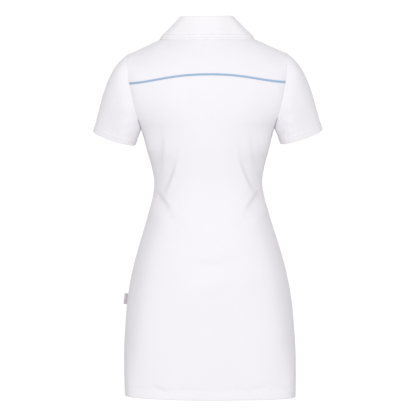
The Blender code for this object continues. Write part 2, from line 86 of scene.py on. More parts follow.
# level z, half width of back and front, centre y of back and front, fullness of back and front
LEVELS = np.array([
    (-875, 203.2, 203.2, 123, -113, 1.55, 1.38),
    (-820, 205.2, 205.2, 124.2, -112.8, 1.54, 1.37),
    (-765, 205.8, 205.8, 125.4, -112.5, 1.49, 1.34),
    (-700, 202.4, 202.4, 127.3, -111.7, 1.41, 1.29),
    (-645, 197.4, 197.4, 128.2, -110.7, 1.32, 1.23),
    (-600, 190, 190, 127, -109.5, 1.26, 1.19),
    (-560, 181.2, 181.2, 122.2, -107.5, 1.22, 1.16),
    (-500, 163.8, 163.8, 109, -103, 1.17, 1.13),
    (-430, 142.7, 142.7, 91, -96.5, 1.11, 1.10),
    (-390, 132.8, 132.8, 84, -94.5, 1.08, 1.09),
    (-360, 129.8, 129.8, 82.5, -95.5, 1.07, 1.08),
    (-330, 134.6, 134.6, 86.5, -101, 1.06, 1.08),
    (-285, 146.5, 146.5, 95.8, -112, 1.06, 1.08),
    (-233, 160.4, 160.4, 104.5, -119, 1.06, 1.10),
    (-215, 172.5, 167, 106.5, -119.5, 1.09, 1.10),
    (-195, 183, 174.2, 108, -118.5, 1.13, 1.09),
    (-170, 191.3, 182.6, 108.2, -115.8, 1.18, 1.07),
    (-148, 195.9, 190, 106.4, -112, 1.22, 1.05),
    (-126, 199.6, 196.8, 103, -107.2, 1.25, 1.03),
    (-105, 202.5, 201, 98.5, -102, 1.26, 1.00),
]) * ([MM] * 5 + [1, 1])
# left armhole seam, from the shoulder down the back, under the arm and up the front
SHOULDER_END = np.array((0.1882, 0, -0.0548))
ARMHOLE_BACK_TOP = np.array([
    (188.7, 16, -57.7), (189.2, 30, -68), (189, 39.5, -85), (188, 44.8, -105),
]) * MM
ARMHOLE_FRONT_TOP = np.array([
    (176.5, -50.5, -109), (180.8, -43, -88), (184.8, -31.5, -69.5), (187.4, -16.5, -58),
]) * MM
# y and z of the seam where it is cut in the body
ARMHOLE_LOW = np.array([
    (47.5, -126.4), (49.7, -148), (48.5, -171), (43, -194), (32.5, -214), (17, -228), (-2, -233),
    (-20, -228.5), (-34.5, -216.5), (-45.5, -199.5), (-52.5, -178), (-55, -155), (-54, -131),
]) * MM
UNDER_POINT = 6
UNDER_Z = ARMHOLE_LOW[UNDER_POINT, 1]

# depth, reach, how much wider it is on its left side, share of the depth that stands up beside it, then x
# and z of three points: lengths in millimetres
CREASES = {
    "back": (
        (5.6, 6, 4.2, 0.3, 77, -304, 91, -346, 110, -388),
        (6, 6.2, 2.8, 0.15, 128, -385, 113.5, -406, 92, -431),
        (5.4, 6, 4.2, 0.3, -77, -302, -92, -348, -116, -388),
        (5.8, 6.2, 2.8, 0.15, -128, -385, -112.5, -405, -90, -433),
        (3.8, 7, 3, 0.15, 110, -246, 114, -292, 122, -338),
        (2.2, 6.5, 3, 0.15, -103, -254, -109, -298, -119, -336),
        (5.8, 11, 3, 0.05, 40, -552, 1, -568, -46, -552),
        (0.9, 7, 1, 0.3, 46, -118, 45, -160, 50, -215),
        (0.8, 7, 1, 0.3, -23, -112, -24, -150, -20, -205),
        (0.5, 10, 1, 0.3, 12, -125, 8, -190, 14, -270),
        (1, 9, 1, 0.3, 110, -432, 85, -456, 60, -470),
        (0.9, 10, 1, 0.3, -112, -434, -90, -460, -68, -472),
        (0.9, 15, 1, 0.2, 20, -630, -8, -640, -38, -632),
        (2.6, 5.8, 1.6, 0.1, 136, -843, 118, -852, 94, -858),
        (1.8, 5.5, 1.4, 0.1, 72, -852, 56, -849, 40, -852),
        (2.4, 5.8, 1.5, 0.1, -92, -856, -112, -852, -136, -847),
        (1.4, 5.5, 1.4, 0.1, -50, -853, -66, -850, -80, -853),
    ),
    "front": (
        (4, 6.6, 3, 0.25, 79, -310, 93, -352, 113, -385),
        (3.6, 6.6, 2.2, 0.25, 125, -389, 109, -410, 87, -430),
        (3.8, 6.6, 3, 0.25, -84, -302, -98, -345, -114, -388),
        (3.4, 6.6, 2.2, 0.25, -125, -388, -111, -411, -95, -434),
        (2.2, 10, 2, 0.1, -112, -254, -117, -300, -122, -336),
        (1.2, 11, 1, 0.2, 128, -246, 112, -232, 90, -226),
        (1.4, 11, 1, 0.2, -130, -244, -116, -228, -96, -220),
        (0.8, 12, 1, 0.3, 22, -300, 30, -350, 27, -410),
        (0.9, 14, 1, 0.2, 36, -560, 6, -574, -26, -562),
        (0.8, 10, 1, 0.3, 108, -430, 84, -455, 58, -466),
        (1, 5, 1.6, 0.2, 128, -852, 112, -855, 94, -862),
        (1, 5, 1.5, 0.2, -70, -860, -90, -855, -112, -853),
    ),
}
# how far the filling presses the back out, over what reach, then x and z of both ends of the place, on
# either side
FILLINGS = np.array([
    (19, 41, 204, -100, 186, -262),
    (13, 34, 272, -100, 306, -235),
    (-13, 26, 134, -325, 130, -390),
    (-12, 26, 152, -455, 173, -525),
    (-17.5, 30, 194, -565, 215, -745),
    (24, 34, 224, -845, 222, -900),
]) * MM
FILLED_FROM_Y = -0.06
FILLED_OVER = 0.07


def through(keys, rows, at):
    """The smooth curve through a table's rows, read at one key or at an array of them."""
    at = np.asarray(at, float)
    k = np.clip(np.searchsorted(keys, at) - 1, 0, len(keys) - 2)
    step = np.diff(keys)[:, None]
    rise = np.diff(rows, axis=0) / step
    inner = (rise[:-1] * step[1:] + rise[1:] * step[:-1]) / (step[:-1] + step[1:])
    slope = np.vstack([rise[:1], inner, rise[-1:]])
    u = ((at - keys[k]) / step[k, 0])[..., None]
    return hermite(rows[k], rows[k + 1], step[k] * slope[k], step[k] * slope[k + 1], u)


def hermite(start, end, leave, arrive, v):
    """Point at the share v of a curve from start to end, with the directions it leaves and arrives in."""
    first = (1 + 2 * v) * (1 - v) ** 2 * start + v * (1 - v) ** 2 * leave
    return first + v * v * (3 - 2 * v) * end + v * v * (v - 1) * arrive


def bezier(p0, p1, p2, p3, t):
    """Points of a cubic curve at the share t."""
    s = 1 - t
    return s ** 3 * p0 + 3 * s * s * t * p1 + 3 * s * t * t * p2 + t ** 3 * p3


def unit(v):
    """Vectors at length one."""
    v = np.asarray(v, float)
    return v / np.linalg.norm(v, axis=-1, keepdims=True)


def ease(t):
    """A share that starts and ends slowly."""
    t = np.clip(t, 0, 1)
    return t * t * (3 - 2 * t)


def near(distance, reach):
    """A share that is one at no distance and fades out over the reach."""
    return np.exp(-(distance / reach) ** 2)


def nearest(values, wanted):
    """The number of the value that lies nearest to the one wanted."""
    return int(np.abs(values - wanted).argmin())


def lengths(grid, axis=0):
    """Length along the cloth to each point of a grid, up its columns or along its rows."""
    steps = np.linalg.norm(np.diff(grid, axis=axis), axis=-1)
    start = np.zeros_like(np.take(steps, [0], axis))
    return np.concatenate([start, np.cumsum(steps, axis)], axis)


def body(face, z, t):
    """Points of the body at the levels z, at the shares t of the way from the centre line to the side."""
    half, middle, full = through(LEVELS[:, 0], LEVELS[:, 1:], z).T[("back", "front").index(face)::2]
    quarter_round = 0.5523
    hold = quarter_round * full
    x = bezier(0, hold * half, half, half, t)
    y = bezier(middle, middle, SIDE_SEAM_Y + hold * (middle - SIDE_SEAM_Y), SIDE_SEAM_Y, t)
    return np.stack([x, y, z + 0 * t], axis=-1)


def share_at(face, y, z):
    """How far round from the centre line the body's level z reaches the depth y."""
    shares = np.linspace(0.4, 1, 601)
    depths = np.abs(body(face, np.full(len(shares), z), shares)[:, 1] - SIDE_SEAM_Y)
    return np.interp(-abs(y - SIDE_SEAM_Y), -depths, shares)


def armhole_ring():
    """The closed armhole seam from the shoulder down the back and up the front, and keys along it."""
    low = []
    for number, (y, z) in enumerate(ARMHOLE_LOW):
        face = "back" if number <= UNDER_POINT else "front"
        low.append(body(face, z, share_at(face, y, z)))
    loop = np.vstack([[SHOULDER_END], ARMHOLE_BACK_TOP, low, ARMHOLE_FRONT_TOP])
    ring = np.vstack([loop[-RING_LAP:], loop, loop[:RING_LAP + 1]])
    keys = lengths(ring)
    return keys - keys[RING_LAP], ring


RING_LAP = 2
ARM_KEYS, ARM_RING = armhole_ring()
LOW_START = RING_LAP + 1 + len(ARMHOLE_BACK_TOP)
YOKE_KEY = ARM_KEYS[LOW_START]
UNDER_KEY = ARM_KEYS[LOW_START + UNDER_POINT]
CHEST_KEY = ARM_KEYS[LOW_START + len(ARMHOLE_LOW) - 1]
END_KEY = ARM_KEYS[-RING_LAP - 1]
UPPER_KEYS = {"back": (YOKE_KEY, 0), "front": (CHEST_KEY, END_KEY)}


def armhole(key):
    """A point of the left armhole seam, by its length from the shoulder."""
    return through(ARM_KEYS, ARM_RING, key)


def armhole_key(face, rise):
    """Where a row that rises past the underarm meets the armhole seam."""
    middle, top = UPPER_KEYS[face]
    if rise <= 2:
        return UNDER_KEY + (middle - UNDER_KEY) * (rise - 1)
    return middle + (top - middle) * (rise - 2)


def lower_row(face, rise, t):
    """Half a row of the body: rise 0 to 1 from hem to underarm, 1 to 2 from there to yoke seam or chest."""
    if rise <= 1:
        return body(face, np.full(len(t), HEM_Z + (UNDER_Z - HEM_Z) * rise), t)
    edge = armhole(armhole_key(face, rise))
    lift = CENTRE_LIFT[face] * (rise - 1) ** 2
    t = np.append(t, 1.0)
    way = t * share_at(face, edge[1], edge[2])
    across = body(face, np.full(len(t), edge[2]), way)[:, 0]
    row = body(face, edge[2] + lift * (1 - ease((across / across[-1]) ** LIFT_POWER)), way)
    row = row + (edge - row[-1]) * t[:, None] ** ROW_HOLD
    return row[:-1]


def normals(grid, ring=False):
    """Unit normals of a grid of points whose columns and rows wind outwards."""
    if ring:
        grid = np.concatenate([grid[:, -1:], grid, grid[:, :1]], axis=1)
    out = unit(np.cross(np.gradient(grid, axis=1), np.gradient(grid, axis=0)))
    return out[:, 1:-1] if ring else out


def trough(off, share, lip):
    """Depth of a fold: off is in its reach, share along it, and lip is how much stands up beside it."""
    taper = np.sin(math.pi * (0.06 + 0.88 * share))
    return taper * (near(off, 1) - lip * near(off - LIP_OFF, LIP_REACH))


def crease_depth(face, points):
    """How far the creases of one face pull each of its points in."""
    depth = np.zeros(points.shape[:-1])
    shares = np.linspace(0, 1, 25)
    for deep, reach, wider, lip, *line in CREASES[face]:
        start, middle, end = np.reshape(line, (3, 2)) * MM
        curve = bezier(start, (start + 2 * middle) / 3, (end + 2 * middle) / 3, end, shares[:, None])
        away = points[..., None, (0, 2)] - curve
        closest = np.linalg.norm(away, axis=-1).argmin(axis=-1)
        away = np.take_along_axis(away, closest[..., None, None], axis=-2)[..., 0, :]
        run = np.gradient(curve, axis=0)[closest]
        on_left = (run[..., 0] * away[..., 1] - run[..., 1] * away[..., 0]) * np.sign(middle[0]) > 0
        off = np.linalg.norm(away, axis=-1) / (reach * MM) / np.where(on_left, wider, 1)
        depth += deep * MM * trough(off, shares[closest], np.where(on_left & (wider > 1), 0, lip))
    return depth


def filled(points):
    """Points moved out, or in, where they are at the back and the filling presses on them."""
    way_in = ease((points[..., 1] - FILLED_FROM_Y) / FILLED_OVER)
    spot = np.stack([np.abs(points[..., 0]), points[..., 2]], axis=-1)
    out = np.zeros(spot.shape[:-1])
    for press, reach, *ends in FILLINGS:
        start, run = np.array(ends[:2]), np.array(ends[2:]) - ends[:2]
        share = np.clip((spot - start) @ run / (run @ run), 0, 1)
        out += press * near(np.linalg.norm(spot - start - share[..., None] * run, axis=-1), reach)
    return points + np.array((0, 1, 0)) * (out * way_in)[..., None]


def hem_lift(grid):
    """How much higher the skirt hangs towards its left side, near the hem."""
    low = ease((HEM_UNEVEN_BELOW - grid[..., 2]) / HEM_UNEVEN_OVER)
    half_skirt = 0.2
    return HEM_UNEVEN * (np.clip(grid[..., 0], 0, None) / half_skirt) ** 1.4 * low


def half_row(face, rise, t):
    """Half a row of one face at any rise from 0, the hem, to 3, the top."""
    return lower_row(face, rise, t) if rise <= 2 else upper_row(face, rise, t)


def panel(face, rises, shares):
    """Points of one panel, both halves, its rows from bottom to top, wound to face outwards."""
    half = np.array([half_row(face, rise, shares) for rise in rises])
    grid = np.concatenate([half[:, :0:-1] * MIRROR, half], axis=1)
    grid = grid[:, ::-1] if face == "back" else grid
    grid[..., 2] += hem_lift(grid)
    still = np.concatenate([shares[:0:-1], shares]) ** CREASE_HOLD
    return grid - normals(grid) * (crease_depth(face, grid) * (1 - still))[..., None]


def sewn(grid, rises, bottom=False):
    """A panel with its sewn edges drawn back from the seam and rolled in to it, less so up the armhole."""
    up, along = lengths(grid), lengths(grid, 1)
    from_side = np.minimum(along, along[:, -1:] - along)
    from_end = np.minimum(up if bottom else up[-1] - up, up[-1] - up)
    side_roll = 1 - 0.8 * ease((rises - 1.4) / 0.5)[:, None]
    depth = near(from_end, ROLL_REACH) + near(from_side, ROLL_REACH) * side_roll
    grid = grid - normals(grid) * (depth * ROLL_IN)[..., None]
    grid = tucked(grid, from_side, rises[:, None] - 1)
    if bottom:
        grid[0] += unit(grid[1] - grid[0]) * SEAM_GAP
    grid[-1] += unit(grid[-2] - grid[-1]) * SEAM_GAP
    grid[:, 0] += unit(grid[:, 1] - grid[:, 0]) * SEAM_GAP
    grid[:, -1] += unit(grid[:, -2] - grid[:, -1]) * SEAM_GAP
    return grid


def tucked(grid, from_seam, past_underarm):
    """A piece drawn in beside the armhole seam, just above the underarm, as a sleeve pulls it."""
    x, z = TUCK_TOWARDS
    middle = np.sign(grid[..., :1]) * (x, 0, 0) + (0, 0, z)
    weight = ease(past_underarm / TUCK_FULL) * ease((TUCK_END - past_underarm) / TUCK_FADE)
    return grid + unit(middle - grid) * (TUCK_DEPTH * weight * near(from_seam, TUCK_REACH))[..., None]


def hemmed(grid, depth, rows, sink=STITCH_SINK, flare=HEM_FLARE, ring=False):
    """A panel whose bottom rows are turned up: the band stands proud, with its stitches sunk in it."""
    up, along = lengths(grid), lengths(grid, 1)
    out = HEM_RAISE * (1 - ease((up - depth) / HEM_STEP + 0.5))
    for row in rows:
        out = out - sink * near(up - row, STITCH_GROOVE)
    short, middling, long = PUCKER_WAVES
    wave = np.sin(along / short + 1.7 * np.sin(along / middling)) * (0.6 + 0.4 * np.sin(along / long))
    out = out + PUCKER * wave * near(up - depth, PUCKER_REACH)
    away = normals(grid, ring)
    out = out + flare * np.clip(1 - up / depth, 0, 1) * away[..., 1] ** 2
    return grid + away * out[..., None]


def hem_wall(grid, depth):
    """Thickness of a panel's cloth, which is double where its hem is turned up."""
    return CLOTH * (1 + ease((depth - lengths(grid)) / (HEM_STEP / 2)))


def closed(grid):
    """The grid of a ring with its first column again at its end."""
    return np.concatenate([grid, grid[:, :1]], axis=1)


def quads(values):
    """The values of a grid at the four corners of each of its faces."""
    corners = [values[:-1, :-1], values[:-1, 1:], values[1:, 1:], values[1:, :-1]]
    return np.stack(corners, axis=2).reshape(-1, 4, *values.shape[2:])


def shell(name, grid, thick, finish, ring=False):
    """A closed wall of cloth: the grid is its outer face, and its edges are rounded over to the inner."""
    rows, columns = grid.shape[:2]
    thick = np.broadcast_to(thick, (rows, columns))[..., None]
    inner = grid - normals(grid, ring) * thick
    away = np.zeros_like(grid)
    away[0] += grid[0] - grid[1]
    away[-1] += grid[-1] - grid[-2]
    count = rows * columns
    number = np.arange(count).reshape(rows, columns)
    if ring:
        loops = [number[0], number[-1, ::-1]]
        number, wide = closed(number), closed(grid)
    else:
        away[:, 0] += grid[:, 0] - grid[:, 1]
        away[:, -1] += grid[:, -1] - grid[:, -2]
        loops = [np.concatenate([number[0], number[1:, -1], number[-1, -2::-1], number[-2:0:-1, 0]])]
        wide = grid
    away = away / (np.linalg.norm(away, axis=-1, keepdims=True) + 1e-12)
    middle = (grid + inner) / 2 + away * thick * RIM_ROUND
    cloth_uv = np.stack([lengths(wide, 1), lengths(wide)], axis=-1)
    outer_faces, outer_uv = quads(number), quads(cloth_uv)
    faces, face_uv = [outer_faces, outer_faces[:, ::-1] + count], [outer_uv, outer_uv[:, ::-1]]
    points = [grid.reshape(-1, 3), inner.reshape(-1, 3)]
    flat_uv = cloth_uv[:, :columns].reshape(-1, 2)
    first = 2 * count
    for loop in loops:
        points.append(middle.reshape(-1, 3)[loop])
        after = np.roll(loop, -1)
        rim = first + np.arange(len(loop))
        rim_after = np.roll(rim, -1)
        faces.append(np.stack([after, loop, rim, rim_after], axis=1))
        faces.append(np.stack([rim_after, rim, loop + count, after + count], axis=1))
        edge_uv = np.stack([flat_uv[after], flat_uv[loop], flat_uv[loop], flat_uv[after]], axis=1)
        face_uv += [edge_uv, edge_uv[:, ::-1]]
        first += len(loop)
    mesh = bpy.data.meshes.new(name)
    mesh.from_pydata(np.concatenate(points).tolist(), [], np.concatenate(faces).tolist())
    mesh.uv_layers.new(name="cloth").data.foreach_set("uv", np.concatenate(face_uv).ravel())
    return place(name, mesh, finish)


def new_object(name, data):
    """A new object in the scene, which holds a mesh, a light or a camera."""
    made = bpy.data.objects.new(name, data)
    bpy.context.scene.collection.objects.link(made)
    return made


def place(name, mesh, finish):
    """Make a mesh a piece of the dress, with its finish."""
    mesh.materials.clear()
    mesh.materials.append(finish)
    mesh.shade_smooth()
    piece = new_object(name, mesh)
    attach(piece, "root")
    return piece


def baked(thing):
    """The plain mesh that an object's modifiers make of it."""
    return bpy.data.meshes.new_from_object(thing.evaluated_get(bpy.context.evaluated_depsgraph_get()))


def feed(node, *values, **inputs):
    """The node with its inputs fed, in order or by name, with plain values, outputs or whole nodes."""
    named = [(node.inputs[name.replace("_", " ")], value) for name, value in inputs.items()]
    for socket, value in [*zip(node.inputs, values), *named]:
        if isinstance(value, bpy.types.Node):
            value = value.outputs[0]
        if isinstance(value, bpy.types.NodeSocket):
            node.id_data.links.new(value, socket)
        else:
            socket.default_value = value
    return node


def add(tree, kind, *values, settings=None, **inputs):
    """A new node in a tree, with its settings made and its inputs fed."""
    node = tree.nodes.new(kind)
    for name, setting in (settings or {}).items():
        setattr(node, name, setting)
    return feed(node, *values, **inputs)


def maths(tree, operation, *values):
    """A Math node fed with numbers or other nodes."""
    return add(tree, "ShaderNodeMath", *values, settings={"operation": operation})


def cloth_place(tree):
    """Outputs that run along and up the cloth, in metres."""
    place_on = add(tree, "ShaderNodeUVMap", settings={"uv_map": "cloth"})
    return add(tree, "ShaderNodeSeparateXYZ", place_on).outputs[:2]


def noise(tree, scale, detail=2):
    """A Noise node on the piece's own coordinates."""
    where = tree.nodes.new("ShaderNodeTexCoord").outputs["Object"]
    return add(tree, "ShaderNodeTexNoise", Vector=where, Scale=scale, Detail=detail)


def finish_with(name, colours, roughness, sheen, height, tint, depth):
    """A shader whose height and tint come from the functions given, colours running from low to high."""
    made = bpy.data.materials.new(name)
    made.use_nodes = True
    tree = made.node_tree
    low, high = ((*colour, 1) for colour in colours)
    mix = add(tree, "ShaderNodeMix", settings={"data_type": "RGBA"}, A=low, B=high, Factor=tint(tree))
    bump = add(tree, "ShaderNodeBump", Strength=1.0, Distance=depth, Height=height(tree))
    feed(
        tree.nodes["Principled BSDF"], Base_Color=mix.outputs["Result"], Normal=bump, Roughness=roughness,
        Sheen_Weight=sheen, Sheen_Roughness=0.5,
    )
    return made


def ribs(tree, value, width):
    """Rounded ribs side by side, one for each width."""
    return maths(tree, "ABSOLUTE", maths(tree, "SINE", maths(tree, "MULTIPLY", value, math.pi / width)))


def pique_cells(tree):
    """Rounded cells in staggered rows, with the yarn's own unevenness over them."""
    along, up = cloth_place(tree)
    row = maths(tree, "DIVIDE", up, CELL_HEIGHT)
    column = maths(tree, "DIVIDE", along, CELL_WIDTH)
    column = maths(tree, "MULTIPLY_ADD", maths(tree, "FLOOR", row), 0.5, column)
    cell = maths(tree, "MULTIPLY", ribs(tree, column, 1), ribs(tree, row, 1))
    return maths(tree, "MULTIPLY_ADD", noise(tree, 2600), 0.5, cell)


def pique_tint(tree):
    """Slow, slight changes over the whole piece and finer ones from yarn to yarn."""
    return maths(tree, "MULTIPLY_ADD", noise(tree, 9), 0.7, maths(tree, "MULTIPLY", noise(tree, 900), 0.3))


CELL_WIDTH = 0.00125
CELL_HEIGHT = 0.00095
white_pique = finish_with(
    "white pique", ((0.850, 0.840, 0.874), (0.908, 0.897, 0.929)), 0.88, 0.12, pique_cells, pique_tint,
    0.00010,
)


def thread_twist(tree):
    """The lay of a sewing thread."""
    return noise(tree, 3000, 1)


white_thread = finish_with(
    "white thread", ((0.86, 0.86, 0.88), (0.92, 0.92, 0.93)), 0.6, 0.1, thread_twist, thread_twist, 0.00004,
)


def stitch_tree():
    """Geometry nodes that lay arched stitches end to end along a seam, standing on the cloth."""
    tree = bpy.data.node_groups.new("row of stitches", "GeometryNodeTree")
    sizes = dict.fromkeys(("Pitch", "Stitch Length", "Thread Radius", "Arch"), "Float")
    for name, kind in {"Seam": "Geometry", **sizes, "Thread": "Material"}.items():
        tree.interface.new_socket(name, in_out="INPUT", socket_type="NodeSocket" + kind)
    tree.interface.new_socket("Stitches", in_out="OUTPUT", socket_type="NodeSocketGeometry")
    given = tree.nodes.new("NodeGroupInput").outputs

    seam = add(tree, "GeometryNodeMeshToCurve", Mesh=given["Seam"])
    spaced = add(tree, "GeometryNodeResampleCurve", settings={"mode": "LENGTH"}, Curve=seam)
    feed(spaced, Length=given["Pitch"])
    half, back = (maths(tree, "MULTIPLY", given["Stitch Length"], share) for share in (0.5, -0.5))
    dip = maths(tree, "MULTIPLY", given["Thread Radius"], -1.0)
    arc = add(
        tree, "GeometryNodeCurveQuadraticBezier", Resolution=5,
        Start=add(tree, "ShaderNodeCombineXYZ", X=back, Z=dip),
        Middle=add(tree, "ShaderNodeCombineXYZ", Z=given["Arch"]),
        End=add(tree, "ShaderNodeCombineXYZ", X=half, Z=dip),
    )
    section = add(tree, "GeometryNodeCurvePrimitiveCircle", Resolution=6, Radius=given["Thread Radius"])
    stitch = add(tree, "GeometryNodeCurveToMesh", Curve=arc, Profile_Curve=section, Fill_Caps=True)

    turn = "FunctionNodeAlignRotationToVector"
    out = add(tree, "GeometryNodeInputNamedAttribute", settings={"data_type": "FLOAT_VECTOR"}, Name="out")
    tangent = tree.nodes.new("GeometryNodeInputTangent")
    forward = add(tree, turn, settings={"axis": "X"}, Vector=tangent)
    upright = add(tree, turn, settings={"axis": "Z", "pivot_axis": "X"}, Rotation=forward)
    feed(upright, Vector=out.outputs["Attribute"])
    laid = add(tree, "GeometryNodeInstanceOnPoints", Points=spaced, Instance=stitch, Rotation=upright)
    real = add(tree, "GeometryNodeRealizeInstances", Geometry=laid)
    coloured = add(tree, "GeometryNodeSetMaterial", Geometry=real, Material=given["Thread"])
    add(tree, "NodeGroupOutput", coloured)
    return tree


STITCHING = stitch_tree()


def stitches(name, seams, pitch=0.0030, length=0.0025, radius=0.00024, arch=0.00055, finish=white_thread):
    """Rows of stitches, one along each seam, given as its points and the ways out of the cloth there."""
    points, outward = (np.concatenate(parts) for parts in zip(*seams))
    edges, first = [], 0
    for seam, _ in seams:
        edges += [(first + k, first + k + 1) for k in range(len(seam) - 1)]
        first += len(seam)
    mesh = bpy.data.meshes.new(name)
    mesh.from_pydata(points.tolist(), edges, [])
    mesh.attributes.new("out", "FLOAT_VECTOR", "POINT").data.foreach_set("vector", outward.ravel())
    guide = new_object(name + "_guide", mesh)
    laying = guide.modifiers.new("stitching", "NODES")
    laying.node_group = STITCHING
    values = {"Pitch": pitch, "Stitch Length": length, "Thread Radius": radius, "Arch": arch}
    values["Thread"] = finish
    for socket in STITCHING.interface.items_tree:
        if socket.name in values:
            laying[socket.identifier] = values[socket.name]
    sewn_mesh = baked(guide)
    bpy.data.objects.remove(guide)
    sewn_mesh.name = name
    return place(name, sewn_mesh, finish)


def seam_on(grid, *where, ring=False):
    """A line of a grid to be stitched: its points, and the ways out of the cloth there."""
    return grid[where], normals(grid, ring)[where]


def spread(start, end, step):
    """Values from start to end, at most a step apart."""
    return np.linspace(start, end, max(2, math.ceil(abs(end - start) / step) + 1))


def joined(*runs):
    """Runs of values end to end, without the doubled ends."""
    return np.concatenate([runs[0]] + [run[1:] for run in runs[1:]])


INSIDE = slice(1, -1)
EDGE_SHARES = (0.985, 0.9895, 0.9930, 0.9960, 0.9982, 1.0)
back_shares = joined(np.linspace(0, 0.985, 72), EDGE_SHARES)
body_levels = joined(
    HEM_Z + np.array([0, 0.0007, 0.0020, 0.0045]),
    HEM_Z + spread(0.0045, 0.0180, 0.0034),
    HEM_Z + spread(0.0180, 0.0255, 0.00075),
    HEM_Z + spread(0.0255, 0.0400, 0.0021),
    spread(HEM_Z + 0.0400, -0.4700, 0.0042),
    spread(-0.4700, -0.2900, 0.0030),
    spread(-0.2900, UNDER_Z, 0.0040),
)
skirt_rises = (body_levels - HEM_Z) / (UNDER_Z - HEM_Z)
seam_rises = (1.965, 1.975, 1.983, 1.990, 1.995, 2.0)
back_rises = joined(skirt_rises, np.linspace(1, 1.965, 32), seam_rises)


def cut_and_hem(face, rises, shares):
    """The back or the front up from its hem: its grid, its cloth and the stitches of the hem."""
    grid = hemmed(filled(sewn(panel(face, rises, shares), rises)), HEM_DEPTH, HEM_ROWS)
    cloth = shell(face + "_cloth", grid, hem_wall(grid, HEM_DEPTH), white_pique)
    rows = [nearest(body_levels, HEM_Z + row) for row in HEM_ROWS]
    return grid, cloth, stitches(face + "_hem_stitches", [seam_on(grid, row, INSIDE) for row in rows])


_, back_cloth, back_hem_stitches = cut_and_hem("back", back_rises, back_shares)
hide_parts("back")

# Back yoke: one piece of the same pique from the piped seam to the neckline and shoulder seams. It is sewn
# to the back with the piping caught between, and topstitched a few millimetres above the seam.
NECK_SHARE = {"back": 0.40, "front": 0.47}
NECK_SIDE = np.array((0.068, 0, 0.0005))
# centre of each neckline, and how its curve leaves the centre and arrives at the side of the neck
NECKLINES = {
    "back": np.array([(0, 0.059, -0.004), (0.036, 0, 0), (0, 0.034, 0)]),
    "front": np.array([(0, -0.084, -0.066), (0.044, 0, 0), (0, -0.042, -0.012)]),
}
# ways in which the cloth arrives at the neckline's centre and side, and over the shoulder
ARRIVING = {
    "back": np.array([(0, -0.50, 0.86), (-0.50, -0.85, 0.225), (0, -1, 0)]),
    "front": np.array([(0, 0.38, 0.92), (-0.50, 0.85, 0.225), (0, 1, 0)]),
}
# a rise just below the yoke seam or chest, which gives the way that the cloth takes there
NEAR_SEAM = 1.97
YOKE_ROW_UP = 0.005


def top_row(face, t):
    """Neckline, then shoulder seam, of the yoke or the front."""
    share = NECK_SHARE[face]
    centre, leave, arrive = NECKLINES[face]
    neck = bezier(centre, centre + leave, NECK_SIDE + arrive, NECK_SIDE, np.clip(t / share, 0, 1)[:, None])
    along = np.clip((t - share) / (1 - share), 0, 1)[:, None]
    shoulder = NECK_SIDE + (SHOULDER_END - NECK_SIDE) * along
    return np.where((t <= share)[:, None], neck, shoulder)


def upper_row(face, rise, t):
    """A row from yoke seam or chest, rise 2, to the top, rise 3, each column bent over the shoulder."""
    t = np.append(t, 1.0)
    foot = lower_row(face, 2, t)
    rising = unit(foot - lower_row(face, NEAR_SEAM, t))
    top = top_row(face, t)
    pull = np.linalg.norm(top - foot, axis=1)[:, None]
    neck = np.clip(t / NECK_SHARE[face], 0, 1)[:, None] ** 2
    out = ease((t - NECK_SHARE[face]) / 0.3)[:, None]
    at_centre, at_neck, over = ARRIVING[face]
    ending = unit(at_centre * (1 - neck) + at_neck * (neck - out) + over * out)
    points = hermite(foot, top, rising * pull, ending * pull, rise - 2)
    points = points + (armhole(armhole_key(face, rise)) - points[-1]) * t[:, None] ** ROW_HOLD
    return points[:-1]


def upper_shares(face, on_neck, on_shoulder):
    """Shares of a row that ends in the neckline and the shoulder seam, with so many points on each."""
    split = NECK_SHARE[face]
    shoulder = np.linspace(split, EDGE_SHARES[0], on_shoulder)
    return joined(np.linspace(0, split, on_neck), shoulder, EDGE_SHARES)


TOP_RISES = (2.97, 2.98, 2.99, 3.0)
yoke_shares = upper_shares("back", 34, 42)
yoke_rises = joined(
    (2, 2.005, 2.011, 2.018, 2.028), np.linspace(2.028, 2.06, 5), np.linspace(2.06, 2.97, 34), TOP_RISES,
)
yoke_grid = filled(sewn(panel("back", yoke_rises, yoke_shares), yoke_rises, bottom=True))
back_yoke_cloth = shell("back_yoke_cloth", yoke_grid, CLOTH, white_pique)
topstitched = nearest(lengths(yoke_grid)[:, len(yoke_shares)], YOKE_ROW_UP)
yoke_stitches = stitches("yoke_stitches", [seam_on(yoke_grid, topstitched, slice(2, -2))])
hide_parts("back_yoke")

# Piping: a bias strip of light blue cotton folded over a thin cord, caught in the yoke seam and lying down
# over the top edge of the back.
PIPING_WIDTH = 0.0046
PIPING_THICK = 0.0016
# share of the piping's width between the seam and its middle
PIPING_HANG = 0.42
LAY_GAP = 0.0004


def tube(name, sections, finish):
    """A closed tube through rings of points, with flat ends."""
    count, sides = sections.shape[:2]
    number = np.arange(count * sides).reshape(count, sides)
    faces = [*quads(closed(number)).tolist(), number[0, ::-1].tolist(), number[-1].tolist()]
    mesh = bpy.data.meshes.new(name)
    mesh.from_pydata(sections.reshape(-1, 3).tolist(), [], faces)
    uv = np.stack([lengths(sections), lengths(sections, 1)], axis=-1).reshape(-1, 2)
    corners = [loop.vertex_index for loop in mesh.loops]
    mesh.uv_layers.new(name="cloth").data.foreach_set("uv", uv[corners].ravel())
    return place(name, mesh, finish)


def bias_weave(tree):
    """Fine diagonal ribs of a woven strip cut on the bias."""
    slant = maths(tree, "MULTIPLY", maths(tree, "ADD", *cloth_place(tree)), math.tau / 0.0007)
    return maths(tree, "MULTIPLY_ADD", maths(tree, "SINE", slant), 0.5, noise(tree, 2500))


def slow_tint(tree):
    """Slight changes along the piece."""
    return noise(tree, 60)


